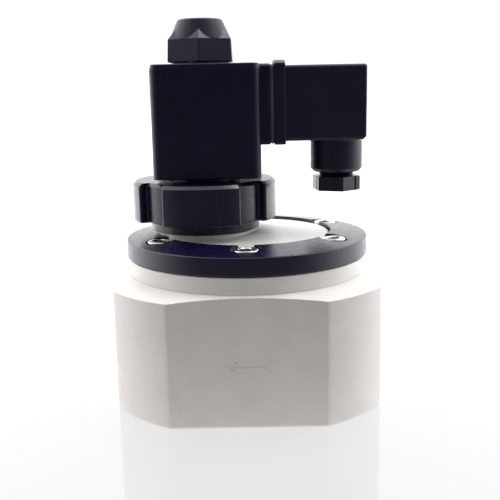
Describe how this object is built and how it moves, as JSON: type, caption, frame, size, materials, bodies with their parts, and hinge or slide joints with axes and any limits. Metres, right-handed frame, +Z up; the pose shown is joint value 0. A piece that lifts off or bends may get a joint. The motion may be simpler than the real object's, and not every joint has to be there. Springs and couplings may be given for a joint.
{
  "type": "solenoid valve",
  "caption": "Servo-assisted two-way solenoid valve: white plastic body, black clamp ring and union nut, square coil with a right-angle connector.",
  "frame": {"origin": "centre of the valve body's flat base, midway between the two port faces", "axes": "+Z up along the pilot solenoid, ports along X with the inlet at +X and the connector above it, front face with the flow arrow towards -Y"},
  "size_m": [0.0924, 0.0944, 0.1345],
  "materials": {
    "white_plastic": "satin turned and milled fluoropolymer",
    "black_plastic": "semi-gloss moulded plastic",
    "coil_resin": "semi-gloss moulded casing resin",
    "connector_plastic": "fine-grained moulded plastic",
    "insert_plastic": "matte moulded plastic",
    "black_rubber": "matte rubber",
    "grey_rubber": "matte pale grey rubber",
    "stainless_steel": "bright stainless steel",
    "magnetic_steel": "turned ferritic steel",
    "copper": "enamelled copper",
    "brass": "plain brass"
  },
  "bodies": {
    "valve": {"valve_body": "white_plastic", "main_diaphragm": "black_rubber", "main_spring": "stainless_steel", "cover": "white_plastic", "clamp_ring": "black_plastic", "flange_screw_1": "stainless_steel", "flange_screw_2": "stainless_steel", "flange_screw_3": "stainless_steel", "flange_screw_4": "stainless_steel", "flange_screw_5": "stainless_steel", "flange_screw_6": "stainless_steel", "tube_seal": "black_rubber", "armature_tube": "black_plastic", "fixed_core": "magnetic_steel", "shading_ring": "copper", "plunger_spring": "stainless_steel", "cap_washer": "grey_rubber"},
    "main_valve": {"valve_disc": "white_plastic", "support_plate": "white_plastic", "disc_nut": "white_plastic"},
    "plunger": {"plunger": "magnetic_steel", "plunger_seal": "black_rubber"},
    "union_nut": {"union_nut": "black_plastic"},
    "coil": {"coil_housing": "coil_resin", "coil_yoke": "magnetic_steel", "coil_bobbin": "insert_plastic", "coil_winding": "copper", "contact_blade_1": "brass", "contact_blade_2": "brass", "earth_blade": "brass"},
    "cap_nut": {"cap_nut": "black_plastic"},
    "connector": {"connector_gasket": "grey_rubber", "connector_housing": "connector_plastic", "terminal_block": "insert_plastic", "contact_socket_1": "brass", "contact_socket_2": "brass", "contact_socket_3": "brass", "terminal_screw_1": "stainless_steel", "terminal_screw_2": "stainless_steel", "terminal_screw_3": "stainless_steel", "screw_seal": "black_rubber", "gland_washer": "insert_plastic", "gland_seal": "black_rubber"},
    "centre_screw": {"centre_screw": "stainless_steel"},
    "gland_nut": {"gland_nut": "connector_plastic"}
  },
  "joints": [
    {"name": "main_valve_lift", "type": "slide", "parent": "valve", "child": "main_valve", "axis": [0, 0, 1], "range_m": [0, 0.005], "stiffness_N_per_m": 400, "springref_m": -0.004, "deforming": ["main_spring", "main_diaphragm"]},
    {"name": "plunger_lift", "type": "slide", "parent": "valve", "child": "plunger", "axis": [0, 0, 1], "range_m": [0, 0.0022], "stiffness_N_per_m": 350, "springref_m": -0.004, "deforming": ["plunger_spring"]},
    {"name": "union_nut_turn", "type": "hinge", "parent": "valve", "child": "union_nut", "pos_m": [-0.0152, 0, 0.0712], "axis": [0, 0, 1], "continuous": true},
    {"name": "coil_swivel", "type": "hinge", "parent": "valve", "child": "coil", "pos_m": [-0.0152, 0, 0.0991], "axis": [0, 0, 1], "continuous": true},
    {"name": "cap_nut_turn", "type": "hinge", "parent": "valve", "child": "cap_nut", "pos_m": [-0.0152, 0, 0.127], "axis": [0, 0, 1], "continuous": true},
    {"name": "connector_pull", "type": "slide", "parent": "coil", "child": "connector", "axis": [1, 0, 0], "range_m": [0, 0.03]},
    {"name": "centre_screw_turn", "type": "hinge", "parent": "connector", "child": "centre_screw", "pos_m": [0.0236, 0, 0.1046], "axis": [1, 0, 0], "continuous": true},
    {"name": "gland_nut_turn", "type": "hinge", "parent": "connector", "child": "gland_nut", "pos_m": [0.0333, 0, 0.078], "axis": [0, 0, 1], "continuous": true}
  ]
}
